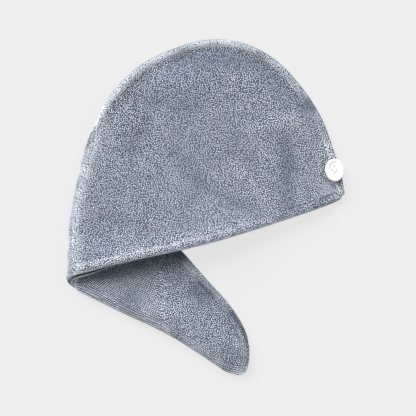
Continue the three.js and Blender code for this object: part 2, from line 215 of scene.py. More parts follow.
def inner_face(outer, from_hem, from_seam):
    plies = np.where(from_hem < hem_width, 2, 1)
    free = np.maximum(half_clearance, outer - plies * cloth_thickness)
    return np.where(from_seam < seam_allowance, half_clearance, free)


def rounded_edge(distance, width):
    return np.sqrt(np.maximum(0, 1 - (1 - np.clip(distance / width, 0, 1)) ** 2))


def hood_sections(places):
    row = {name: column_at(hood, name, places) for name in hood}
    return {
        "hem": np.stack([row["hem_x"] * hood_length, row["hem_y"] * hood_length], -1),
        "seam": np.stack([row["seam_x"] * hood_length, row["seam_y"] * crown_height], -1),
        "mouth": np.clip(row["mouth"], 0, 1),
        "hollow": np.clip(row["hollow"], 0, 1),
        "bow": row["bow"],
        "peek": np.maximum(0, row["bow"]),
        "angle": np.zeros(len(places)),
        "hood": np.ones(len(places)),
    }


def fold_sections(turns):
    nothing = np.zeros(len(turns))
    return {
        "hem": along_fold * (fold_length * fold_slide_hem * turns)[:, None],
        "seam": along_fold * (fold_length * (1 + fold_slide_seam * turns))[:, None],
        "mouth": nothing,
        "hollow": nothing,
        "bow": np.ones(len(turns)),
        "peek": (1 - turns) ** 2,
        "angle": turns * np.pi,
        "hood": nothing,
    }


def tail_sections(places):
    row = {name: column_at(tail, name, places) for name in tail}
    nothing = np.zeros(len(places))
    hem = np.stack([row["hem_x"], row["hem_y"]], -1) * tail_length
    span = np.outer(row["along"], along_fold) + np.outer(row["away"], away_from_fold)
    return {
        "hem": hem,
        "seam": hem + span * fold_length,
        "mouth": nothing,
        "hollow": nothing,
        "bow": row["bow"],
        "peek": nothing,
        "angle": nothing + np.pi,
        "hood": nothing,
    }


def tail_seam(row):
    sections = tail_sections(np.array([float(row)]))
    return sections["seam"][0]


# The line under the hood where the tail ends: a parabola x(y) through three places of the sewn edge
tail_edge = np.array([fold_end, tail_seam(1), tail_seam(3)])
tail_edge_curve = np.polyfit(tail_edge[:, 1], tail_edge[:, 0], 2)


def lift_at(plan):
    """1 where the hood lies over the tail, easing to 0 where it lies on the floor."""
    x, y = plan[..., 0], plan[..., 1]
    slope = np.polyval(np.polyder(tail_edge_curve), y)
    past = (x - np.polyval(tail_edge_curve, y)) / np.hypot(1, slope)
    fall = mix(hem_fall, crown_fall, smooth_step(y, 0, crown_height / 2))
    return 1 - smooth_step(past, lift_margin, lift_margin + fall)


def columns(sections):
    """The sections' values as columns, to be worked out against lines across them."""
    return {name: values[:, None] for name, values in sections.items()}


def middle_surface(section, v, thickness):
    """Point of the middle surface and the direction from the back panel to the front panel."""
    plan = section["hem"] + (section["seam"] - section["hem"]) * v[..., None]
    radius = fold_radius(v)
    share = plan @ along_fold / fold_length
    plan = plan - away_from_fold * (section["bow"] * bow_at(share))[..., None]
    sine = np.sin(section["angle"]) + 0 * v
    cosine = np.cos(section["angle"]) + 0 * v
    normal = np.stack([-away_from_fold[0] * sine, -away_from_fold[1] * sine, cosine], -1)
    lift = mix(1, lift_at(plan), section["hood"])
    height = thickness + radius * (1 + cosine) * lift
    point = np.concatenate([plan - away_from_fold * (sine * radius)[..., None], height[..., None]], -1)
    return point, normal


# Lines across a panel: distances from the hem and from the seam, closer where the cloth turns or is sewn
hem_lines = np.concatenate([
    hem_round * np.array([0, 0.05, 0.18, 0.4, 0.7, 1]),
    np.linspace(3.2, 8, 5),
    np.linspace(8.6, 11, 7),
    [12.2],
])
seam_lines = np.concatenate([
    [11.4, 10.3, 9.4],
    np.linspace(8.8, 6.2, 7),
    [5.4],
    rim_round * np.array([1, 0.72, 0.5, 0.32, 0.16, 0.06, 0]),
])
inner_hem_lines = np.array([0, 0.35, 1.1, 2.2, 5, 9.6, 10.2, 11.5])
inner_seam_lines = np.array([11, 8.5, 7.2, 6.8, 4.5, 2, 0.6, 0])
hem_band = 10.6
band_share = 0.9
edge_share = 0.96
slant_limit = 1.8


def measured(sections):
    """Adds each section's length and how slantwise it meets the hem and the seam."""
    ends, _ = middle_surface(columns(sections), np.array([[0.0, 1.0]]), 0)
    across = ends[:, 1] - ends[:, 0]
    length = norm(across, axis=-1)
    along = unit(np.gradient(ends, axis=0))
    square = norm(np.cross((across / length[:, None])[:, None], along), axis=-1)
    slant = np.minimum(slant_limit, 1 / np.maximum(square, 0.1))
    return {**sections, "length": length, "slant": slant}


def lines_across(section, near_hem, near_seam, middle_lines, peek):
    """v along each section, with the distances from the hem and from the seam."""
    length = section["length"] + peek
    slant_hem, slant_seam = section["slant"][..., 0], section["slant"][..., 1]
    bands = hem_band * slant_hem + (seam_allowance + ridge_ease) * slant_seam
    squeeze = np.minimum(1, band_share * length / bands)
    edges = (near_hem[-1] * slant_hem + near_seam[0] * slant_seam) * squeeze
    reach = np.minimum(1, edge_share * length / edges)
    hem_scale = slant_hem * squeeze
    seam_scale = slant_seam * squeeze
    first = near_hem[-1] * hem_scale * reach
    last = length - near_seam[0] * seam_scale * reach
    inside = first + (last - first) * (np.arange(1, middle_lines + 1) / (middle_lines + 1))
    places = np.concatenate([
        near_hem * hem_scale * reach,
        inside,
        length - near_seam * seam_scale * reach,
    ], axis=1)
    v = (places - peek) / section["length"]
    return v, places / hem_scale, (length - places) / seam_scale


def panel_rings(sections, side, middle_lines):
    """Rings of points round one panel's thickness, each with its distances and the way out of the cloth."""
    section = columns(measured(sections))
    peek = section["peek"] * hem_peek if side < 0 else 0 * section["peek"]
    rings = []
    for outside, *lines in (
        (True, hem_lines, seam_lines, middle_lines),
        (False, inner_hem_lines, inner_seam_lines, inner_middle_lines),
    ):
        v, from_hem, from_seam = lines_across(section, *lines, peek)
        outer = outer_face(section, from_hem, from_seam)
        inner = inner_face(outer, from_hem, from_seam)
        point, normal = middle_surface(section, v, outer)
        rim = mix(inner, outer, rounded_edge(from_seam, rim_round))
        centre = (inner + rim) / 2
        half = (rim - inner) / 2 * rounded_edge(from_hem, hem_round) * section["thick"]
        away = centre + half if outside else centre - half
        point = point + normal * (side * away)[..., None]
        ring = {
            "point": point,
            "normal": normal * (side if outside else -side),
            "from_hem": from_hem,
            "from_seam": from_seam,
            "outside": np.full(v.shape, outside),
        }
        if not outside:
            ring = {name: values[:, 1:-1][:, ::-1] for name, values in ring.items()}
        rings.append(ring)
    return {name: np.concatenate([rings[0][name], rings[1][name]], axis=1) for name in rings[0]}


def spread(sections_at, low, high, count):
    """Places whose sections are evenly spaced at the middle of the cloth."""
    fine = np.linspace(low, high, 400)
    sections = sections_at(fine)
    middle = (sections["hem"] + sections["seam"]) / 2
    run = run_along(middle)
    return np.interp(np.linspace(0, run[-1], count), run, fine)


end_round = 3.0     # width of the rounded ends of a panel at the front corner and at the tip
end_thickness = 0.12


def panel_sections(hood_count, fold_count, tail_count):
    hood_places = spread(hood_sections, 0, len(hood["hem_x"]) - 1, hood_count)
    turns = np.arange(1, fold_count) / fold_count
    tail_places = spread(tail_sections, 0, len(tail["hem_x"]) - 1, tail_count)
    parts = [hood_sections(hood_places), fold_sections(turns), tail_sections(tail_places)]
    sections = {name: np.concatenate([part[name] for part in parts]) for name in parts[0]}
    middle = (sections["hem"] + sections["seam"]) / 2
    from_front = norm(middle - middle[0], axis=1)
    from_tip = norm(middle - middle[-1], axis=1)
    near_end = np.minimum(from_front, from_tip)
    sections["thick"] = np.maximum(end_thickness, rounded_edge(near_end, end_round))
    sections["from_tip"] = from_tip
    sections["from_front"] = from_front
    return sections


# Unevenness of the cloth


cell_factors = (73856093, 19349663, 83492791)
seed_factor = 2654435761
stir_factor = 1274126177
low_bits = 0xFFFFFFFF
half_range = 0x7FFFFFFF


def lattice_noise(points, cell, seed):
    """Smooth noise between -1 and 1 with one value for each cell of the given size."""
    place = points / cell
    corner = np.floor(place).astype(np.int64)
    t = place - corner
    t = t * t * (3 - 2 * t)
    total = np.zeros(points.shape[:-1])
    for step in np.ndindex(2, 2, 2):
        key, weight = seed * seed_factor, 1
        for axis in range(3):
            key = key ^ (corner[..., axis] + step[axis]) * cell_factors[axis]
            weight = weight * (t[..., axis] if step[axis] else 1 - t[..., axis])
        key = key & low_bits
        key = (key ^ (key >> 13)) * stir_factor & low_bits
        total += ((key ^ (key >> 16)) / half_range - 1) * weight
    return total


def unevenness(points, layers):
    """The sum of layers of noise, each with its height, cell and seed."""
    return sum(height * lattice_noise(points, cell, seed) for height, cell, seed in layers)


# The photograph's frame: its pixels are 1.2 mm at the floor, turned against the hem
pixel_size = 1.2
photo_roll = math.radians(16)
photo_corner = np.array([81, 273])  # the pixel of the hem's fold corner


def from_photo(x, y):
    dx = (x - photo_corner[0]) * pixel_size
    dy = (photo_corner[1] - y) * pixel_size
    return np.array([
        dx * math.cos(photo_roll) + dy * math.sin(photo_roll),
        dy * math.cos(photo_roll) - dx * math.sin(photo_roll),
    ])


# Soft hollows and swells of the cloth as they lie in the photograph: pixels from and to, width and height
# in mm, and how much paler the pile is painted there, in steps of the loops' shades: painted light on the
# swells and painted shade in the hollows, with painted shadow under the hood's hem and in the tail's seam
# groove
hood_swells = [
    ((180, 60), (258, 60), 13, -1.4, -1.4),
    ((268, 72), (306, 108), 12, -1.2, -1.1),
    ((146, 100), (196, 104), 11, -1.4, -0.9),
    ((150, 128), (130, 152), 10, -1.3, -0.7),
    ((175, 153), (200, 185), 9, -2.4, -0.8),
    ((200, 185), (252, 213), 8, -2.4, -1.0),
    ((235, 148), (254, 166), 7, -1.4, -0.5),
    ((232, 165), (260, 195), 6, 1.8, 0.7),
    ((252, 130), (296, 119), 8, 1.7, 0.8),
    ((287, 147), (288, 204), 11, -3.0, -1.5),
    ((308, 104), (320, 134), 8, -1.4, -1.0),
    ((300, 162), (314, 190), 13, 0, -0.2),
    ((104, 216), (122, 220), 10, -2.0, -1.0),
    ((138, 234), (158, 228), 6, -1.2, -0.6),
    ((104, 262), (180, 240), 7, 0.8, 0.9),
    ((180, 240), (250, 223), 7, 0.6, 1.0),
]
tail_swells = [
    ((196, 290), (206, 298), 10, -1.6, -1.2),
    ((128, 298), (136, 302), 9, -1.0, -0.9),
    ((160, 302), (184, 312), 10, 1.2, 0.5),
    ((212, 330), (218, 338), 9, 0.8, 0.5),
    ((228, 350), (236, 358), 9, -0.8, -1.0),
    ((100, 274), (190, 251), 6, 0, -1.2),
    ((232, 312), (243, 330), 1.7, -1.0, -3.0),
    ((243, 330), (249, 345), 1.7, -1.0, -3.0),
]
# The creases that meet at the button, with the same columns; their tones are painted light on the creases'
# ridges and painted shadow under the button's raised edge
hood_swells += [
    ((331, 158), (324, 146), 1.6, 0.5, 0.12),
    ((328, 161), (320, 149), 2.0, -0.45, -0.42),
    ((333, 156), (335, 159), 2.0, 0.4, 0.39),
    ((337, 183), (338, 193), 1.6, 0.35, 0.39),
    ((333, 184), (334, 194), 2.0, -0.3, -0.3),
    ((322, 164), (322, 177), 2.2, -0.5, -0.54),
    ((322, 177), (331, 184), 2.2, -0.5, -0.54),
]
# Scales the swells' tones of painted light and shade
painted_swell_contrast = 1.4


def swell_sums(plan, swells):
    """Height that the swells add at each point, and the tone of painted light and shade that goes with
    them.
    """
    height_sum, painted_tone_sum = np.zeros(plan.shape[:-1]), np.zeros(plan.shape[:-1])
    for start, end, width, height, tone in swells:
        a, b = from_photo(*start), from_photo(*end)
        share = np.clip(((plan - a) @ (b - a)) / np.sum((b - a) ** 2), 0, 1)
        nearest = a + share[..., None] * (b - a)
        near = np.exp(-((norm(plan - nearest, axis=-1) / width) ** 2))
        height_sum += height * near
        painted_tone_sum += tone * near
    return height_sum, painted_tone_sum


def hump(distance, middle, width):
    return np.exp(-(((distance - middle) / width) ** 2))


def from_photo_right(plan):
    """How far a place lies to the right in the photograph, in its pixels."""
    across = plan[..., 0] * math.cos(photo_roll) - plan[..., 1] * math.sin(photo_roll)
    return photo_corner[0] + across / pixel_size


def from_photo_way(right, up):
    """A direction in the photograph, as one in the hem's frame."""
    return unit(from_photo(photo_corner[0] + right, photo_corner[1] - up))


tail_angle = 3.1            # sections that are turned further lie on the tail
seen_angle = 0.9 * np.pi    # past it the front panel lies out of sight and carries no loops


def zones(rings, sections):
    """Masks of the points on the hood and on the tail."""
    shape = rings["from_hem"].shape
    on_hood = np.broadcast_to(sections["hood"][:, None] > 0, shape)
    on_tail = np.broadcast_to(sections["angle"][:, None] > tail_angle, shape)
    return on_hood, on_tail


def top_swells(rings, sections, side):
    """Heights of the swells, and their tones of painted light and shade, on the face that the photograph
    shows of a panel.
    """
    on_hood, on_tail = zones(rings, sections)
    on_top, swells = (on_hood, hood_swells) if side > 0 else (on_tail, tail_swells)
    heights, tones = swell_sums(rings["point"][..., :2], swells)
    return np.where(on_top, heights, 0), painted_swell_contrast * np.where(on_top, tones, 0)


stitch_line = 9.6       # from the hem's edge
stitch_pitch = 3.4
stitch_groove = 0.9
groove_width = 1.1
stitch_clear = 0.5      # half of the width that the loops leave along the stitches
puff_line = 5.5         # of the hem's roundest place, from its edge
puff_height = 0.45
puff_width = 2.6
valley_line = 9.8       # from the sewn edge
valley_fill = 1.25      # evens out the step beside the seam's bulk
valley_width = 3.4
soft_layers = [(0.32, 19, 3), (0.22, 8, 4)]
fine_layers = [(0.16, 3.1, 5)]


def add_relief(rings, sections, swells, side):
    """Moves the faces out or in, for stitches, swells and soft unevenness."""
    point, normal, outside = rings["point"], rings["normal"], rings["outside"]
    hem, seam = rings["from_hem"], rings["from_seam"]
    on_hood, _ = zones(rings, sections)
    run = run_along(point[:, 0])[:, None]
    stitched = 0.7 - 0.3 * np.cos(2 * np.pi * run / stitch_pitch)
    groove = stitch_groove * stitched * hump(hem, stitch_line, groove_width)
    puff = puff_height * hump(hem, puff_line, puff_width)
    fill = np.where(on_hood, valley_fill * hump(seam, valley_line, valley_width), 0)
    clear_of_edges = smooth_step(hem, 2, 14) * smooth_step(seam, 2, 10)
    soft = unevenness(point, soft_layers) * clear_of_edges
    fine = unevenness(point, fine_layers)
    relief = puff - groove + fill + swells * smooth_step(hem, 0, 3) + soft + fine
    relief = np.where(outside, relief * smooth_step(seam, 0, 3), 0)
    if side > 0:
        relief = np.where(~outside & on_hood, -swells * clear_of_edges, relief)
    rings["point"] = point + normal * relief[..., None]
    rings["point"][..., 2] = np.maximum(rings["point"][..., 2], 0)


# Where the pile lies calm and even, as along the rims, with its level there in shade steps
# The rims' levels are painted light on the fold and on the lit side of the seam, lowered at the very edge
# and where the key lamp faces them
seam_rim_painted_light = 3.4
seam_edge_fall = 3.0
key_fall = 1.7          # where the rim faces the key light
fold_rim_painted_light = 2.85
fold_edge_fall = 1.6
outline_level = 2.0
corner_level = 1.2
calm_corner = (333, 192)
calm_corner_reach = 17
fold_reach = 7          # how far the turned cloth reaches past the fold's line

# Tones along the edges, in shade steps; of two, the first is near the fold and the second near the front
tail_tone = -0.8
tail_hem_tone = -1.5
# Paler along the hem's band: painted highlight
band_painted_light = (1.2, 0.5)
# Darker along the stitches' groove: painted shade
stitch_painted_shade = (-0.4, -3.0)
# Darker at the hood's hem edge: painted shade
hem_edge_painted_shade = -1.9
front_reach = (120, 220)
seam_line = 8.4         # of the sewn seam's ridge, from the edge
seam_line_tone = 0.9
inside_seam_line = 11
# Paler just inside the seam on the lit side: painted light
inside_seam_painted_light = 0.6
tone_layers = [(0.5, 13, 6)]

# Directions in the photograph, to the right and up: the side that the painted rim light falls on, and the
# key lamp's
lit_way = (-0.55, 0.83)
key_way = (-0.6, 0.8)


def note_pile(rings, sections, tones):
    """Notes how the pile lies at each point: its tone, with its painted light and shade, and how calm,
    ordered and turned its loops are.
    """
    hem, seam = rings["from_hem"], rings["from_seam"]
    on_hood, on_tail = zones(rings, sections)
    plan = rings["point"][..., :2]
    right = from_photo_right(plan)
    towards_front = smooth_step(plan[..., 0], *front_reach)
    from_fold = plan @ away_from_fold + bow_at(plan @ along_fold / fold_length) + fold_reach
    from_corner = norm(plan - from_photo(*calm_corner), axis=-1)
    edge = np.where(on_tail, np.minimum(hem, sections["from_tip"][:, None]), hem)
    outward = unit(sections["seam"] - sections["hem"])
    # lit marks the side whose rim gets painted light; facing_key where the key lamp faces the rim
    lit = smooth_step(outward @ from_photo_way(*lit_way), 0.2, 0.8)[:, None]
    facing_key = smooth_step(outward @ from_photo_way(*key_way), 0.8, 1.0)[:, None]
    seam_edge = 1 - smooth_step(seam, 0, 2.5)
    hem_edge = 1 - smooth_step(hem, 0, 2.5)
    fold_edge = (1 - smooth_step(from_fold, 0, 3)) * ~on_tail
    seam_rim = (1 - smooth_step(seam, 4, 13)) * on_hood * lit
    fold_rim = (1 - smooth_step(from_fold, 2, 20)) * ~on_tail
    corner = hump(from_corner, 0, calm_corner_reach) * on_hood
    outline = (1 - smooth_step(np.minimum(edge, seam), 8, 14)) * on_tail * smooth_step(right, 95, 130)
    calm = [
        (seam_rim, seam_rim_painted_light - key_fall * facing_key - seam_edge_fall * seam_edge),
        (fold_rim, fold_rim_painted_light - fold_edge_fall * fold_edge),
        (corner, corner_level),
        (outline, outline_level),
    ]
    rings["calm"] = np.maximum.reduce([share for share, _ in calm])
    weights = sum(share for share, _ in calm) + 1e-9
    rings["calm_level"] = sum(share * level for share, level in calm) / weights
    rings["edge"] = np.maximum(seam_edge, hem_edge)
    sewn = hump(seam, seam_line, 1.0) * on_hood
    inside_seam = hump(seam, inside_seam_line, 2.5) * on_hood * lit
    stitches = hump(hem, stitch_line, 1.3) * smooth_step(seam, 10, 26)
    band = smooth_step(hem, 3, 6.5) * (1 - smooth_step(hem, 9.5, 14)) * on_hood * (1 - 0.5 * fold_rim)
    shaded_edge = (1 - smooth_step(hem, 1, 5.5)) * on_hood
    # The tone adds up painted light and shade (the swells' tones, the band's highlight, shade in the
    # stitches' groove and at the hem's edge, light inside the lit seam) with the tail's and seam line's
    # tones and random patches
    rings["tone"] = (
        tones
        + mix(tail_tone, tail_hem_tone, hem_edge) * on_tail
        + mix(*band_painted_light, towards_front) * band
        + mix(*stitch_painted_shade, towards_front) * stitches
        + hem_edge_painted_shade * shaded_edge
        + seam_line_tone * sewn
        + inside_seam_painted_light * inside_seam
        + unevenness(rings["point"], tone_layers)
    )
    rings["turn"] = np.where(seam < 5, np.pi / 2, 0)
    rings["order"] = np.maximum.reduce([
        0.85 * (1 - smooth_step(edge, 8, 11)),
        0.8 * sewn,
        0.8 * (1 - smooth_step(seam, 3, 5)),
        0.5 * (~on_hood & ~on_tail),
        0.35 * on_tail,
    ])
    rings["knit"] = 1 - smooth_step(right, 140, 180)


def true_normals(rings, side):
    """Normals of the grid of points, out of the cloth."""
    point = rings["point"]
    around = np.concatenate([point[:, -1:], point, point[:, :1]], axis=1)
    across = around[:, 2:] - around[:, :-2]
    along = np.gradient(point, axis=0)
    normal = np.cross(across, along) if side > 0 else np.cross(along, across)
    size = norm(normal, axis=-1, keepdims=True)
    return np.where(size > 1e-9, normal / np.maximum(size, 1e-9), rings["normal"])


# Meshes


def to_part(points):
    return (points + hem_corner) * MM


def mesh_object(name, points, faces, materials, smooth=True):
    """faces is a list of arrays, each with a row of corners for each face."""
    mesh = bpy.data.meshes.new(name)
    points = np.asarray(points, np.float32)
    corners = np.concatenate([np.asarray(f, np.int32).ravel() for f in faces])
    sizes = np.concatenate([np.full(len(f), np.shape(f)[1]) for f in faces])
    starts = np.concatenate([[0], np.cumsum(sizes)[:-1]]).astype(np.int32)
    mesh.vertices.add(len(points))
    mesh.vertices.foreach_set("co", points.ravel())
    mesh.loops.add(len(corners))
    mesh.loops.foreach_set("vertex_index", corners)
    mesh.polygons.add(len(sizes))
    mesh.polygons.foreach_set("loop_start", starts)
    mesh.polygons.foreach_set("use_smooth", np.full(len(sizes), smooth))
    mesh.update(calc_edges=True)
    mesh.validate()
    for material in materials:
        mesh.materials.append(material)
    piece = bpy.data.objects.new(name, mesh)
    scene.collection.objects.link(piece)
    return piece


def panel_faces(rings, side):
    """The panel's quads and its two ends, all facing out."""
    rows, count = rings["point"].shape[:2]
    i = np.arange(rows - 1)[:, None] * count
    k = np.arange(count)[None]
    after = (k + 1) % count
    quads = np.stack([i + k, i + count + k, i + count + after, i + after], -1).reshape(-1, 4)
    last = (rows - 1) * count + k
    return [quads[:, ::-side], k[:, ::side], last[:, ::-side]]


map_width = 0.985       # of the panel's strip on its map, with its two ends in the room that is left
row_gap = 0.3           # keeps rows apart on the map where they meet at the fold
end_place = (0.993, 0.25)
end_apart = 0.5
end_size = (0.005, 0.2)


def lay_out(piece, rings, side):
    """A map for the panel's faces: along the panel, and round its ring."""
    rows, count = rings["point"].shape[:2]
    run = run_along(rings["point"].mean(axis=1)) + row_gap * np.arange(rows)
    ring_step = norm(np.diff(rings["point"], axis=1), axis=-1).mean(axis=0)
    around = np.concatenate([[0], np.cumsum(ring_step)])
    u = run / run[-1] * map_width
    v = np.concatenate([around / (around[-1] + ring_step[-1]), [1.0]])
    i, k = np.mgrid[:rows - 1, :count]
    corners = [(i, k), (i + 1, k), (i + 1, k + 1), (i, k + 1)][::-side]
    places = [np.stack([(u[row], v[line]) for row, line in corners]).transpose(2, 3, 0, 1).reshape(-1, 2)]
    turn = np.arange(count) / count * 2 * np.pi
    for part in (0, 1):
        across = end_place[0] + end_size[0] * np.cos(turn)
        up = end_place[1] + end_apart * part + end_size[1] * np.sin(turn)
        places.append(np.stack([across, up], -1))
    layer = piece.data.uv_layers.new(name="OFBake")
    layer.data.foreach_set("uv", np.concatenate(places).astype(np.float32).ravel())


# Materials


def set_sockets(node, **sockets):
    for socket, value in sockets.items():
        node.inputs[socket.replace("_", " ")].default_value = value


def add_node(tree, kind, **sockets):
    node = tree.nodes.new(kind)
    set_sockets(node, **sockets)
    return node


def principled(name, colour, roughness, **sockets):
    material = bpy.data.materials.new(name)
    material.use_nodes = True
    shader = material.node_tree.nodes["Principled BSDF"]
    set_sockets(shader, Base_Color=(*colour, 1), Roughness=roughness, **sockets)
    return material, material.node_tree, shader


def noise_node(tree, **sockets):
    place = tree.nodes.new("ShaderNodeTexCoord")
    noise = add_node(tree, "ShaderNodeTexNoise", **sockets)
    tree.links.new(place.outputs["Object"], noise.inputs["Vector"])
    return noise


def ramp(tree, source, stops):
    node = tree.nodes.new("ShaderNodeValToRGB")
    elements = node.color_ramp.elements
    while len(elements) < len(stops):
        elements.new(0.5)
    for element, (position, colour) in zip(elements, stops):
        element.position = position
        element.color = (*colour, 1)
    tree.links.new(source, node.inputs["Fac"])
    return node


def scaled(colour, factor):
    return tuple(channel * factor for channel in colour)


# The pile's shades run from the deep gaps between its loops to their pale tips: painted shade and painted
# light
deep_shade_colour = (0.042, 0.056, 0.076)
pale_lit_colour = (0.605, 0.630, 0.692)
sheen_tint = (0.88, 0.91, 1.0, 1)


def pile_colour(share):
    return tuple(mix(deep, pale, share) for deep, pale in zip(deep_shade_colour, pale_lit_colour))


def shaded_ground_material(name):
    """The ground that the loops stand in: dark between them as painted shade, with a fine knitted grain."""
    material, tree, shader = principled(
        name, deep_shade_colour, 0.95,
        Sheen_Weight=0.05, Sheen_Roughness=0.5, Sheen_Tint=sheen_tint, Specular_IOR_Level=0.1,
    )
    pile = noise_node(tree, Scale=620, Detail=3, Distortion=0.6)
    shades = ramp(tree, pile.outputs["Fac"], [
        (0.36, scaled(deep_shade_colour, 0.45)),
        (0.52, deep_shade_colour),
        (0.68, pile_colour(0.12)),
    ])
    tree.links.new(shades.outputs["Color"], shader.inputs["Base Color"])
    bump = add_node(tree, "ShaderNodeBump", Distance=0.5 * MM, Strength=0.8)
    tree.links.new(pile.outputs["Fac"], bump.inputs["Height"])
    tree.links.new(bump.outputs["Normal"], shader.inputs["Normal"])
    return material


loop_shades = 12
half_shades = 2         # materials for each shade step
middle_shade = 2.9
darkest_shade = 0.04    # of the pile's colours, from deep to pale
shade_step = 0.25


# Lit and shaded copies of one pile colour: painted light and shade on the loops, besides their random tone
def lit_and_shaded_loop_materials(prefix):
    return [
        principled(
            f"{prefix}_{k + 1}", pile_colour(darkest_shade + shade_step * k / half_shades), 0.9,
            Sheen_Weight=0.35, Sheen_Roughness=0.4, Sheen_Tint=sheen_tint, Specular_IOR_Level=0.2,
        )[0]
        for k in range(loop_shades)
    ]


# Terry loops: each is a grain-shaped body that arches out of the cloth

loop_length = 1.8
loop_width = 1.15
loop_height = 1.4
loop_sink = 0.25
loop_lean = 0.6         # how unlike the heights of a loop's two ends may be
end_drop = 0.25         # of the loop's ends, its sides and its root, as shares of its height
side_rise = 0.45
root_drop = 0.1
edge_flatness = 0.6     # how much lower the loops are at the cloth's edges
size_spread = 0.2
calm_size = 0.25        # how much longer the loops are where the pile lies calm
most_loops = 24000      # in one piece

# The pale tips stand in shade steps over the middle shade, and low, small loops of the ground under it
# The tips' paleness is painted light, the ground loops' darkness painted shade deep in the pile
shade_spread = 0.4
tip_painted_light = 1.3
ground_painted_shade = -2.3
ground_size = 0.85
ground_height = 0.45
ground_share = 0.33     # of the places between the tips that carry a loop of the ground
calm_tip_painted_light = 0.4
calm_hold = 0.9         # how far the calm pile's level holds over the tips' and the ground's

blended_values = ("point", "way", "along", "tone", "turn", "order", "calm", "calm_level", "edge")


def loop_places(rings, chosen, density, row_phase, jitter):
    """Loops on the chosen quads of the panel's grid, evenly by area, with the rings' values at each."""
    point = rings["point"]
    a, b = point[:-1, :-1], point[1:, :-1]
    c, d = point[1:, 1:], point[:-1, 1:]
    area = (norm(np.cross(b - a, c - a), axis=-1) + norm(np.cross(c - a, d - a), axis=-1)) / 2
    expected = area * density * chosen[:-1, :-1] + 1e-9
    after = np.cumsum(expected, axis=1) + np.arange(len(expected))[:, None] * row_phase % 2
    before = after - expected
    i, k = np.nonzero(np.floor(after) > np.floor(before))
    t = (np.floor(after[i, k]) - before[i, k]) / expected[i, k]
    s = np.clip(0.5 + jitter * (rng.random(len(i)) - 0.5), 0, 1)
    t = np.clip(t + jitter * (rng.random(len(i)) - 0.5), 0, 1)

    def blended(values):
        s_, t_ = (s[:, None], t[:, None]) if values.ndim == 3 else (s, t)
        return (
            values[i, k] * (1 - s_) * (1 - t_)
            + values[i + 1, k] * s_ * (1 - t_)
            + values[i, k + 1] * (1 - s_) * t_
            + values[i + 1, k + 1] * s_ * t_
        )

    found = {name: blended(rings[name]) for name in blended_values}
    found["tip"] = np.floor(after[i, k]) % 2
    found["size"] = np.ones(len(i))
    return found


# Rows of loops moved on by the golden share spread evenly, and moved on by one loop form a grid
golden = 2 * 0.618
one_loop = 1
scatter_density = 1.3
grid_density = 0.46
grid_jitter = 0.35
knit_size = 1.05
knit_noise = (0.45, 3.5, 12)
tip_distance = 1.65


def search_tree(points):
    tree = KDTree(len(points))
    for n, point in enumerate(points):
        tree.insert(point, n)
    tree.balance()
    return tree


def well_apart(points, distance):
    """Picks points in a random order, leaving out all that lie too near a picked one."""
    tree = search_tree(points)
    picked = np.zeros(len(points), bool)
    passed = np.zeros(len(points), bool)
    for n in rng.permutation(len(points)):
        if passed[n]:
            continue
        picked[n] = True
        for _, near, _ in tree.find_range(points[n], distance):
            passed[near] = True
    return picked


def loop_mesh(name, at, materials):
    """One closed grain for each place, sunk into the cloth, lying any way or in order along the panel."""
    n = len(at["point"])
    ways = unit(at["way"])
    second = unit(np.cross(ways, at["along"]))
    first = np.cross(second, ways)
    turn = at["turn"] + (rng.random(n) - 0.5) * np.pi * (1 - at["order"])
    along = first * np.cos(turn)[:, None] + second * np.sin(turn)[:, None]
    across = np.cross(ways, along)
    tip = np.maximum(at["tip"], at["calm"])[:, None]
    size = 1 + calm_size * at["calm"] + size_spread * (rng.random(n) - 0.5)
    grow = mix(ground_size, 1, tip) * size[:, None] * at["size"][:, None]
    lean = (rng.random(n)[:, None] - 0.5) * loop_lean
    half = along * grow * loop_length / 2
    wide = across * grow * loop_width / 2
    edge_height = 1 - edge_flatness * at["edge"]
    tall = ways * grow * loop_height * mix(ground_height, 1, tip) * edge_height[:, None]
    base = at["point"] - ways * loop_sink
    corners = np.stack([
        base - half - tall * end_drop - tall * lean,
        base + half - tall * end_drop + tall * lean,
        base + wide + tall * side_rise,
        base - wide + tall * side_rise,
        base + tall,
        base - tall * root_drop,
    ], axis=1)
    corners[..., 2] = np.maximum(corners[..., 2], 0)
    shape = np.array([
        (0, 3, 4), (3, 1, 4), (1, 2, 4), (2, 0, 4),
        (3, 0, 5), (1, 3, 5), (2, 1, 5), (0, 2, 5),
    ])
    faces = (np.arange(n)[:, None, None] * 6 + shape).reshape(-1, 3)
    piece = mesh_object(name, to_part(corners.reshape(-1, 3)), [faces], materials)
    # Each loop's shade: painted light on tips, painted shade on the ground, the rims' painted levels, the
    # tones and a random spread
    level = middle_shade + mix(ground_painted_shade, tip_painted_light, at["tip"])
    level = mix(level, at["calm_level"] + calm_tip_painted_light * at["tip"], calm_hold * at["calm"]) + at["tone"]
    level = level + shade_spread * (1 - 0.5 * at["calm"]) * rng.standard_normal(n)
    shade = np.clip(np.floor(level * half_shades), 0, len(materials) - 1)
    piece.data.polygons.foreach_set("material_index", np.repeat(shade, len(shape)).astype(np.int32))
    return piece


def dress(piece):
    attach(piece, "root")


inner_middle_lines = 24
grain_layers = [(0.14, 1.3, 9)]


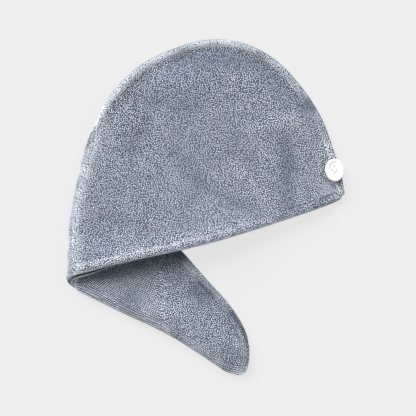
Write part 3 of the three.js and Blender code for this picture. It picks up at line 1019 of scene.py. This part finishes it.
def make_panel(name, side, sections, middle_lines, node, slot):
    rings = panel_rings(sections, side, middle_lines)
    # tones holds the painted light and shade of the swells
    swells, tones = top_swells(rings, sections, side)
    note_pile(rings, sections, tones)
    add_relief(rings, sections, swells, side)
    normal = true_normals(rings, side)
    clear = smooth_step(rings["from_seam"], 0.5, 2) * smooth_step(rings["from_hem"], 0.3, 2)
    grain = unevenness(rings["point"], grain_layers) * rings["outside"] * clear
    rings["point"] = rings["point"] + normal * grain[..., None]
    rings["way"] = normal
    rings["along"] = np.gradient(rings["point"], axis=0)
    points = to_part(rings["point"].reshape(-1, 3))
    piece = mesh_object(name, points, panel_faces(rings, side), [shaded_ground_material(f"{slot}_cloth")])
    lay_out(piece, rings, side)
    dress(piece)
    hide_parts(node)
    return piece, rings


front_sections = panel_sections(hood_count=250, fold_count=20, tail_count=60)
front, front_rings = make_panel("front_towelling", 1, front_sections, 124, "front_panel", "front_terry")
back_middle_lines = 118
back_sections = panel_sections(hood_count=110, fold_count=20, tail_count=190)
back, back_rings = make_panel(
    "back_towelling", -1, back_sections, back_middle_lines, "back_panel", "back_terry"
)
outer_lines = len(hem_lines) + back_middle_lines + len(seam_lines)


def scattered_loops(rings, chosen):
    """Tips at random but well apart, with some lower loops between them."""
    at = loop_places(rings, chosen, scatter_density, golden, 1)
    tips = well_apart(at["point"], tip_distance)
    at["tip"] = tips.astype(float)
    kept = tips | (rng.random(len(tips)) < mix(ground_share, 1, at["calm"]))
    return {key: values[kept] for key, values in at.items()}


def joined(first, second):
    return {key: np.concatenate([first[key], second[key]]) for key in first}


row_pitch = 2.6         # of the rows of loops along the tail's outline
row_reach = 11
row_draw = 0.45         # how far the loops are drawn onto the rows
row_order = 0.85
rows_on_seam = 50       # how many of the panel's sections the rows follow back along the sewn edge


def in_rows(at, outline):
    """Draws the loops near the outline into rows along it."""
    tree = search_tree([(x, y, 0) for x, y in outline])
    nearest = np.array([tree.find((x, y, 0))[1] for x, y, _ in at["point"]])
    nearest = np.clip(nearest, 1, len(outline) - 2)
    tangent = unit(outline[nearest + 1] - outline[nearest - 1])
    apart = at["point"][:, :2] - outline[nearest]
    distance = norm(apart, axis=1)
    move = row_draw * ((np.floor(distance / row_pitch) + 0.5) * row_pitch - distance)
    near = distance < row_reach
    inward = apart / np.maximum(distance, 1e-6)[:, None]
    at["point"][near, :2] += (inward * move[:, None])[near]
    at["along"][near] = np.concatenate([tangent, 0 * tangent[:, :1]], axis=1)[near]
    at["order"][near] = row_order
    at["turn"][near] = 0
    return at


outline_step = 0.4


def tail_loops(rings, chosen):
    """Tips in a grid near the fold, as the knitted ground carries them, and scattered further on."""
    knit = rings["knit"] > 0.5 + unevenness(rings["point"], [knit_noise])
    grid = loop_places(rings, chosen & knit, grid_density, one_loop, grid_jitter)
    grid["size"] *= knit_size
    at = joined(grid, scattered_loops(rings, chosen & ~knit))
    tail_rows = back_sections["angle"] > tail_angle
    hem_edge = rings["point"][tail_rows, 0, :2]
    seam_edge = rings["point"][tail_rows, outer_lines - 1, :2]
    outline = np.concatenate([hem_edge, seam_edge[:-rows_on_seam:-1]])
    run = run_along(outline)
    return in_rows(at, on_line(np.arange(0, run[-1], outline_step), run, outline))


def loops_on(name, rings, rows, placing, materials):
    """Loops over the outer face of the chosen rows, apart from the stitched line."""
    clear = rings["outside"] & (np.abs(rings["from_hem"] - stitch_line) > stitch_clear)
    at = placing(rings, clear & rows[:, None])
    parts = max(1, math.ceil(len(at["point"]) / most_loops))
    pieces = []
    for k in range(parts):
        share = {key: values[k::parts] for key, values in at.items()}
        piece = loop_mesh(f"{name}_{k + 1}", share, materials)
        dress(piece)
        pieces.append(piece)
    return pieces


front_loops = loops_on(
    "front_loops", front_rings, front_sections["angle"] < seen_angle, scattered_loops,
    lit_and_shaded_loop_materials("front_loop_shade"),
)
back_loops = loops_on(
    "back_loops", back_rings, back_sections["hood"] == 0, tail_loops,
    lit_and_shaded_loop_materials("back_loop_shade"),
)

# Along the hem the turned-up cloth shows its two plies, and a row of stitches holds it


def tube(name, paths, radii, sides, material):
    """Closed tubes along lists of points; radii holds a number, or a list of them, for each path."""
    points, faces, caps = [], [], []
    base = 0
    turn = np.arange(sides) / sides * 2 * np.pi
    for path, radius in zip(paths, radii):
        path = np.array(path, float)
        radius = np.broadcast_to(np.asarray(radius, float), len(path))[:, None, None]
        along = unit(np.gradient(path, axis=0))
        first = unit(np.cross(along, [0.3, 0.9, 0.2]))
        second = np.cross(along, first)
        ring = path[:, None] + radius * (
            first[:, None] * np.cos(turn)[None, :, None] + second[:, None] * np.sin(turn)[None, :, None]
        )
        points.append(ring.reshape(-1, 3))
        i = np.arange(len(path) - 1)[:, None] * sides + base
        k = np.arange(sides)[None]
        after = (k + 1) % sides
        faces.append(np.stack([i + k, i + after, i + sides + after, i + sides + k], -1).reshape(-1, 4))
        caps.append(base + np.arange(sides)[::-1])
        caps.append(base + (len(path) - 1) * sides + np.arange(sides))
        base += len(path) * sides
    return mesh_object(name, np.concatenate(points), [np.concatenate(faces), np.array(caps)], [material])


ply_radius = 1.1
thin_ply = 0.25         # share of the radius left where a ply runs out
ply_spacing = 1.4       # of the two plies from the middle of the hem's thickness
ply_inset = 0.9         # of the plies' middle from the hem's edge
ply_end = 9             # the plies run out before the panel's ends
# Painted light: the plies are paler where they turn round the fold's corner
ply_painted_light = 0.34         # how much paler the plies are where they turn round the fold's corner
pale_reach = (10, 34)
stitch_length = 2.2
stitch_radius = 0.33


def ply_material(name):
    """Rolled cloth with a fine grain, with painted light making it paler near the fold's corner of the hem.
    """
    material, tree, shader = principled(
        name, pile_colour(0.35), 0.9,
        Sheen_Weight=0.3, Sheen_Roughness=0.4, Sheen_Tint=sheen_tint, Specular_IOR_Level=0.15,
    )
    grain = noise_node(tree, Scale=900, Detail=2, Distortion=0.3)
    place = tree.nodes.new("ShaderNodeTexCoord")
    apart = tree.nodes.new("ShaderNodeVectorMath")
    apart.operation = "DISTANCE"
    apart.inputs[1].default_value = to_part(np.zeros(3))
    tree.links.new(place.outputs["Object"], apart.inputs[0])
    near = add_node(
        tree, "ShaderNodeMapRange",
        From_Min=pale_reach[0] * MM, From_Max=pale_reach[1] * MM, To_Min=ply_painted_light, To_Max=0,
    )
    tree.links.new(apart.outputs["Value"], near.inputs["Value"])
    paler = tree.nodes.new("ShaderNodeMath")
    paler.operation = "ADD"
    tree.links.new(grain.outputs["Fac"], paler.inputs[0])
    tree.links.new(near.outputs["Result"], paler.inputs[1])
    shades = ramp(tree, paler.outputs["Value"], [
        (0.4, pile_colour(0.04)),
        (0.62, pile_colour(0.28)),
        (0.85, pile_colour(0.75)),
    ])
    tree.links.new(shades.outputs["Color"], shader.inputs["Base Color"])
    return material


def hem_plies(name, rings, sections):
    """Two rolled plies, side by side through the thickness of the hem's edge."""
    outer = rings["point"][:, int(np.argmin(np.abs(hem_lines - ply_inset)))]
    inner = rings["point"][:, -2]
    middle = (outer + inner) / 2
    across = (outer - inner) / 2
    away = across / np.maximum(norm(across, axis=1, keepdims=True), 1e-6)
    middle[:, 2] = np.maximum(middle[:, 2], ply_radius + np.abs(away[:, 2]) * ply_spacing)
    from_end = np.minimum(sections["from_tip"], sections["from_front"])
    rows = from_end > ply_end / 3
    fade = smooth_step(from_end[rows], ply_end / 3, ply_end * 2)
    paths = [to_part(middle[rows] + side * away[rows] * ply_spacing) for side in (-1, 1)]
    radii = [mix(thin_ply, 1, fade) * ply_radius * MM] * 2
    piece = tube(name, paths, radii, 10, plies_material)
    dress(piece)
    return piece


def hem_stitches(name, rings):
    """Short threads end to end in the groove along the hem."""
    line = int(np.argmin(np.abs(hem_lines - stitch_line)))
    points = rings["point"][:, line]
    run = run_along(points)
    rise = stitch_radius * (1.6 * np.sin(np.linspace(0, np.pi, 5)) - 0.9)
    paths = []
    for start in np.arange(ply_end, run[-1] - ply_end, stitch_pitch):
        places = np.linspace(start, start + stitch_length, len(rise))
        way = unit(on_line(places, run, rings["way"][:, line]))
        paths.append(to_part(on_line(places, run, points) + way * rise[:, None]))
    piece = tube(name, paths, [stitch_radius * MM] * len(paths), 6, hem_thread)
    dress(piece)
    return piece


plies_material = ply_material("rolled_ply")
hem_thread = principled("hem_thread", pile_colour(0.5), 0.8, Sheen_Weight=0.2)[0]
front_trim = [
    hem_plies("front_hem_plies", front_rings, front_sections),
    hem_stitches("front_hem_stitches", front_rings),
]
back_trim = [
    hem_plies("back_hem_plies", back_rings, back_sections),
    hem_stitches("back_hem_stitches", back_rings),
]


# Button: a lathed face with a raised rim, a dished middle and four holes


def lathe(name, profile, segments, material):
    """A closed body turned about Z, from profile points (radius, height) that start and end on the axis."""
    profile = np.array(profile, float)
    turn = np.arange(segments) / segments * 2 * np.pi
    inner = profile[1:-1]
    ring = np.stack([
        np.outer(np.cos(turn), inner[:, 0]),
        np.outer(np.sin(turn), inner[:, 0]),
        np.tile(inner[:, 1], (segments, 1)),
    ], -1)
    points = np.concatenate([ring.reshape(-1, 3), [[0, 0, profile[0, 1]], [0, 0, profile[-1, 1]]]])
    count = len(inner)
    first = np.arange(segments) * count
    after = np.roll(first, -1)
    k = np.arange(count - 1)[None]
    low, high = first[:, None] + k, after[:, None] + k
    quads = np.stack([low, high, high + 1, low + 1], -1).reshape(-1, 4)
    centre = np.full(segments, segments * count)
    bottom = np.stack([centre, after, first], -1)
    top = np.stack([centre + 1, first + count - 1, after + count - 1], -1)
    return mesh_object(name, points * MM, [quads, bottom, top], [material])


button_low, button_high = (np.array(corner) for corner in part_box("button"))
button_centre = Vector((button_low + button_high) / 2)
button_frame = (
    Matrix.Translation(button_centre)
    @ Matrix.Rotation(-math.radians(button_turn), 4, "Z")
    @ Matrix.Rotation(math.radians(button_tilt), 4, "Y")
    @ Matrix.Translation((0, 0, -button_thickness / 2 * MM))
)

plastic = principled(
    "white_plastic", (0.69, 0.69, 0.69), 0.32, Specular_IOR_Level=0.5, Coat_Weight=0.15, Coat_Roughness=0.2
)[0]
white_thread = principled("white_thread", (0.65, 0.65, 0.65), 0.85, Sheen_Weight=0.2)[0]

# From the underside round the rim to the dished middle: distance from the rim, and height
button_rim = [
    (2.2, 0), (1.1, 0.12), (0.35, 0.5), (0, 1.15), (-0.02, 2.0), (0.12, 2.7), (0.6, 3.3),
    (1.3, button_thickness), (2.2, button_thickness), (2.9, 3.35), (3.4, 2.98), (4.0, 2.86), (5.4, 2.86),
    (5.9, 2.74), (6.6, 2.66),
]
button_profile = [
    (0, 0),
    *((button_diameter / 2 - inset, height) for inset, height in button_rim),
    (3.2, 2.62),
    (0, 2.6),
]
hole_profile = [(0, -1), (1.25, -1), (1.1, -0.0), (1.1, 2.35), (1.3, 2.62), (1.7, 3.1), (0, 3.1)]


def make_button():
    button = lathe("button_face", button_profile, 96, plastic)
    for k in range(4):
        angle = k * math.pi / 2
        reach = button_hole_circle / 2 * MM
        hole = lathe(f"hole_{k}", hole_profile, 32, plastic)
        hole.location = (reach * math.cos(angle), reach * math.sin(angle), 0)
        cut = button.modifiers.new("cut", "BOOLEAN")
        cut.operation = "DIFFERENCE"
        cut.solver = "EXACT"
        cut.object = hole
        bpy.context.view_layer.update()
        evaluated = button.evaluated_get(bpy.context.evaluated_depsgraph_get())
        cut_mesh = bpy.data.meshes.new_from_object(evaluated)
        button.modifiers.clear()
        button.data = cut_mesh
        bpy.data.objects.remove(hole)
    button.data.transform(button_frame)
    button.data.set_sharp_from_angle(angle=math.radians(50))
    dress(button)
    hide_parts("button")


make_button()


thread_radius = 0.2
thread_crossing = 0.32  # how much higher the upper thread passes over the lower one
face_level = 2.6        # of the button's dished middle, above its underside
thread_level = face_level + thread_radius
# One end of a thread, from under the button to its face: share of the holes' reach, and height
thread_end = [
    (0.96, -0.9), (0.96, 1.2), (0.93, face_level - 0.3), (0.82, thread_level - 0.02), (0.5, thread_level),
]
shank_radius = 1.5
shank_path = [(0, 0, -0.6), (0.1, 0, -1.6), (0, 0.1, -2.6), (0.1, 0, -3.4)]


def make_thread():
    """Two plies over the face for each pair of holes, down through them, and the shank below."""
    reach = button_hole_circle / 2
    paths = []
    for turn, rise in ((0, 0), (math.pi / 2, thread_crossing)):
        for offset in (-thread_radius, thread_radius):
            steps = [(-x, z) for x, z in thread_end] + [(0, thread_level + rise)] + thread_end[::-1]
            paths.append(MM * np.array([
                (
                    x * reach * math.cos(turn) - offset * math.sin(turn),
                    x * reach * math.sin(turn) + offset * math.cos(turn),
                    z,
                )
                for x, z in steps
            ]))
    thread = tube("button_sewing", paths, [thread_radius * MM] * len(paths), 8, white_thread)
    shank = tube("button_shank", [np.array(shank_path) * MM], [shank_radius * MM], 12, white_thread)
    for piece in (thread, shank):
        piece.data.transform(button_frame)
        dress(piece)
    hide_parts("button_thread")


make_thread()


# Floor, light and camera

floor_size = 6.0
floor_glow = 0.731      # keeps the floor pale all over, and its diffuse part takes the soft shadow
floor_colour = (0.045, 0.045, 0.045, 1)


def make_floor():
    half = floor_size / 2
    corners = [(-half, -half, 0), (half, -half, 0), (half, half, 0), (-half, half, 0)]
    material = bpy.data.materials.new("pale_floor")
    material.use_nodes = True
    tree = material.node_tree
    tree.nodes.clear()
    out = tree.nodes.new("ShaderNodeOutputMaterial")
    glow = add_node(tree, "ShaderNodeEmission", Color=(1, 1, 1, 1), Strength=floor_glow)
    matt = add_node(tree, "ShaderNodeBsdfDiffuse", Color=floor_colour)
    both = tree.nodes.new("ShaderNodeAddShader")
    tree.links.new(glow.outputs[0], both.inputs[0])
    tree.links.new(matt.outputs[0], both.inputs[1])
    tree.links.new(both.outputs[0], out.inputs["Surface"])
    mesh_object("floor", corners, [np.array([[0, 1, 2, 3]])], [material], smooth=False)


make_floor()

world = bpy.data.worlds.new("pale_studio")
world.use_nodes = True
set_sockets(world.node_tree.nodes["Background"], Color=(0.97, 0.98, 1.0, 1), Strength=0.35)
scene.world = world

photo_up = Vector((math.sin(photo_roll), math.cos(photo_roll), 0))
photo_right = Vector((math.cos(photo_roll), -math.sin(photo_roll), 0))


def soft_sun(name, right, up, rise, strength, spread):
    """Even light from a wide patch of sky, its spread in degrees."""
    lamp = bpy.data.lights.new(name, "SUN")
    lamp.energy = strength
    lamp.angle = math.radians(spread)
    light = bpy.data.objects.new(name, lamp)
    direction = photo_up * up + photo_right * right + Vector((0, 0, rise))
    light.rotation_euler = direction.to_track_quat("Z", "Y").to_euler()
    scene.collection.objects.link(light)


soft_sun("key", *key_way, rise=0.8, strength=9.6, spread=40)
soft_sun("fill", 0.3, 0.2, rise=1.0, strength=1.7, spread=80)

photo_size = 416
camera_height = 1550
photo_centre = from_photo(photo_size / 2, photo_size / 2)
camera_data = bpy.data.cameras.new("photo_camera")
camera_data.sensor_width = 36
camera_data.lens = camera_data.sensor_width * camera_height / (photo_size * pixel_size)
camera = bpy.data.objects.new("photo_camera", camera_data)
camera.location = Vector(to_part(np.array([*photo_centre, camera_height])))
camera.rotation_euler = (0, 0, -photo_roll)
scene.collection.objects.link(camera)
scene.camera = camera

scene.view_settings.view_transform = "Standard"
